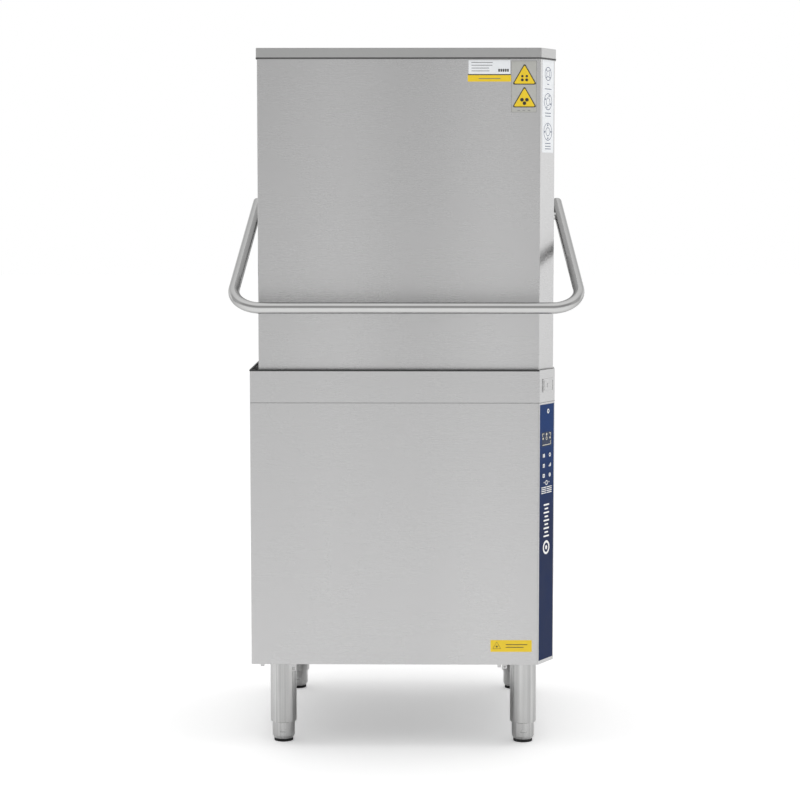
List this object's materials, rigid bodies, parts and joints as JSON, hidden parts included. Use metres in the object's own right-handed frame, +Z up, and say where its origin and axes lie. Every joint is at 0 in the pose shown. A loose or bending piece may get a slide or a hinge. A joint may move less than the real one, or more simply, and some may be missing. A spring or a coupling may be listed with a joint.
{
  "type": "pass-through dishwasher",
  "caption": "Hood-type commercial dishwasher with a lifting steel hood, a wrap-around tube handle, a cut-off front corner with controls and round adjustable legs.",
  "frame": {"origin": "on the floor, under the middle of the cabinet", "axes": "+X to the operator's right, +Y to the rear, +Z up"},
  "size_m": [0.7764, 0.7955, 1.55],
  "materials": {
    "hood_steel": "horizontally brushed stainless sheet",
    "cabinet_steel": "horizontally brushed stainless sheet",
    "tube_steel": "satin polished stainless tube",
    "tank_steel": "pickled stainless pressing",
    "arm_steel": "polished stainless",
    "bright_steel": "bright zinc or stainless fasteners and shafts",
    "galvanised": "galvanised sheet",
    "fascia_blue": "satin blue printed foil",
    "display_dark": "dark display window",
    "black_plastic": "moulded black plastic",
    "roller_plastic": "off-white bearing plastic",
    "hose_rubber": "black rubber",
    "motor_paint": "dark grey enamel"
  },
  "bodies": {
    "cabinet": {"base_frame": "cabinet_steel", "front_panel": "cabinet_steel", "left_panel": "cabinet_steel", "right_panel": "cabinet_steel", "back_panel": "cabinet_steel", "corner_post": "cabinet_steel", "control_fascia": "fascia_blue", "display_window": "display_dark", "deck_collar": "cabinet_steel", "collar_cap": "cabinet_steel", "leg_tubes": "tube_steel", "panel_latches": "cabinet_steel", "panel_screws": "bright_steel", "rear_cover": "hood_steel", "guide_columns": "galvanised", "column_crossbar": "galvanised", "hood_buffers": "hose_rubber", "hood_switch": "black_plastic", "wash_tank": "tank_steel", "tank_filters": "tank_steel", "overflow_pipe": "tank_steel", "tank_heater": "bright_steel", "rack_guide": "tank_steel", "wash_pump_housing": "tank_steel", "wash_pump_motor": "motor_paint", "water_hoses": "hose_rubber", "wash_manifold": "tube_steel", "rinse_pipe": "tube_steel", "boiler": "tank_steel", "rinse_pump": "black_plastic", "drain_pump": "black_plastic", "inlet_valve": "black_plastic", "dosing_pumps": "black_plastic", "electrical_box": "galvanised", "cable_gland": "black_plastic"},
    "hood": {"hood_shell": "hood_steel", "hood_liner": "hood_steel", "hood_cap": "hood_steel", "hood_handle": "tube_steel", "handle_brackets": "tube_steel", "handle_bolts": "bright_steel", "hood_carriage": "galvanised", "roller_pins": "bright_steel", "balance_springs": "bright_steel"},
    "upper_rollers": {"upper_rollers": "roller_plastic"},
    "lower_rollers": {"lower_rollers": "roller_plastic"},
    "lower_wash_arm": {"lower_wash_arm": "arm_steel"},
    "lower_rinse_arm": {"lower_rinse_arm": "arm_steel"},
    "upper_wash_arm": {"upper_wash_arm": "arm_steel"},
    "upper_rinse_arm": {"upper_rinse_arm": "arm_steel"},
    "wash_pump_rotor": {"wash_pump_rotor": "bright_steel"},
    "feet": {"adjustable_feet": "tube_steel", "foot_pads": "black_plastic"},
    "power_button": {"power_button": "fascia_blue"},
    "upper_front_key": {"upper_front_key": "fascia_blue"},
    "middle_front_key": {"middle_front_key": "fascia_blue"},
    "lower_front_key": {"lower_front_key": "fascia_blue"},
    "upper_rear_key": {"upper_rear_key": "fascia_blue"},
    "middle_rear_key": {"middle_rear_key": "fascia_blue"},
    "lower_rear_key": {"lower_rear_key": "fascia_blue"}
  },
  "joints": [
    {"name": "hood_lift", "type": "slide", "parent": "cabinet", "child": "hood", "axis": [0, 0, 1], "range_m": [0, 0.44], "deforming": ["balance_springs"]},
    {"name": "upper_roller_turn", "type": "hinge", "parent": "hood", "child": "upper_rollers", "pos_m": [0, 0.296, 1.025], "axis": [1, 0, 0], "range_deg": [0, 1442.6]},
    {"name": "lower_roller_turn", "type": "hinge", "parent": "hood", "child": "lower_rollers", "pos_m": [0, 0.296, 0.88], "axis": [1, 0, 0], "range_deg": [-1442.6, 0]},
    {"name": "lower_wash_arm_turn", "type": "hinge", "parent": "cabinet", "child": "lower_wash_arm", "pos_m": [0.0075, -0.044, 0.815], "axis": [0, 0, 1], "continuous": true},
    {"name": "lower_rinse_arm_turn", "type": "hinge", "parent": "cabinet", "child": "lower_rinse_arm", "pos_m": [0.0075, -0.044, 0.833], "axis": [0, 0, 1], "continuous": true},
    {"name": "upper_wash_arm_turn", "type": "hinge", "parent": "cabinet", "child": "upper_wash_arm", "pos_m": [0.0075, -0.044, 1.273], "axis": [0, 0, 1], "continuous": true},
    {"name": "upper_rinse_arm_turn", "type": "hinge", "parent": "cabinet", "child": "upper_rinse_arm", "pos_m": [0.0075, -0.044, 1.251], "axis": [0, 0, 1], "continuous": true},
    {"name": "wash_pump_turn", "type": "hinge", "parent": "cabinet", "child": "wash_pump_rotor", "pos_m": [0.0075, 0.2, 0.45], "axis": [0, 1, 0], "continuous": true},
    {"name": "feet_level", "type": "slide", "parent": "cabinet", "child": "feet", "axis": [0, 0, -1], "range_m": [-0.02, 0.04]},
    {"name": "power_button_press", "type": "slide", "parent": "cabinet", "child": "power_button", "axis": [-0.8587, 0.5125, 0], "range_m": [0, 0.0008], "stiffness_N_per_m": 600},
    {"name": "upper_front_key_press", "type": "slide", "parent": "cabinet", "child": "upper_front_key", "axis": [-0.8587, 0.5125, 0], "range_m": [0, 0.0008], "stiffness_N_per_m": 600},
    {"name": "middle_front_key_press", "type": "slide", "parent": "cabinet", "child": "middle_front_key", "axis": [-0.8587, 0.5125, 0], "range_m": [0, 0.0008], "stiffness_N_per_m": 600},
    {"name": "lower_front_key_press", "type": "slide", "parent": "cabinet", "child": "lower_front_key", "axis": [-0.8587, 0.5125, 0], "range_m": [0, 0.0008], "stiffness_N_per_m": 600},
    {"name": "upper_rear_key_press", "type": "slide", "parent": "cabinet", "child": "upper_rear_key", "axis": [-0.8587, 0.5125, 0], "range_m": [0, 0.0008], "stiffness_N_per_m": 600},
    {"name": "middle_rear_key_press", "type": "slide", "parent": "cabinet", "child": "middle_rear_key", "axis": [-0.8587, 0.5125, 0], "range_m": [0, 0.0008], "stiffness_N_per_m": 600},
    {"name": "lower_rear_key_press", "type": "slide", "parent": "cabinet", "child": "lower_rear_key", "axis": [-0.8587, 0.5125, 0], "range_m": [0, 0.0008], "stiffness_N_per_m": 600}
  ],
  "couplings": [
    {"joint": "upper_roller_turn", "follows": "hood_lift", "rad_per_m": 57.143},
    {"joint": "lower_roller_turn", "follows": "hood_lift", "rad_per_m": -57.143}
  ]
}
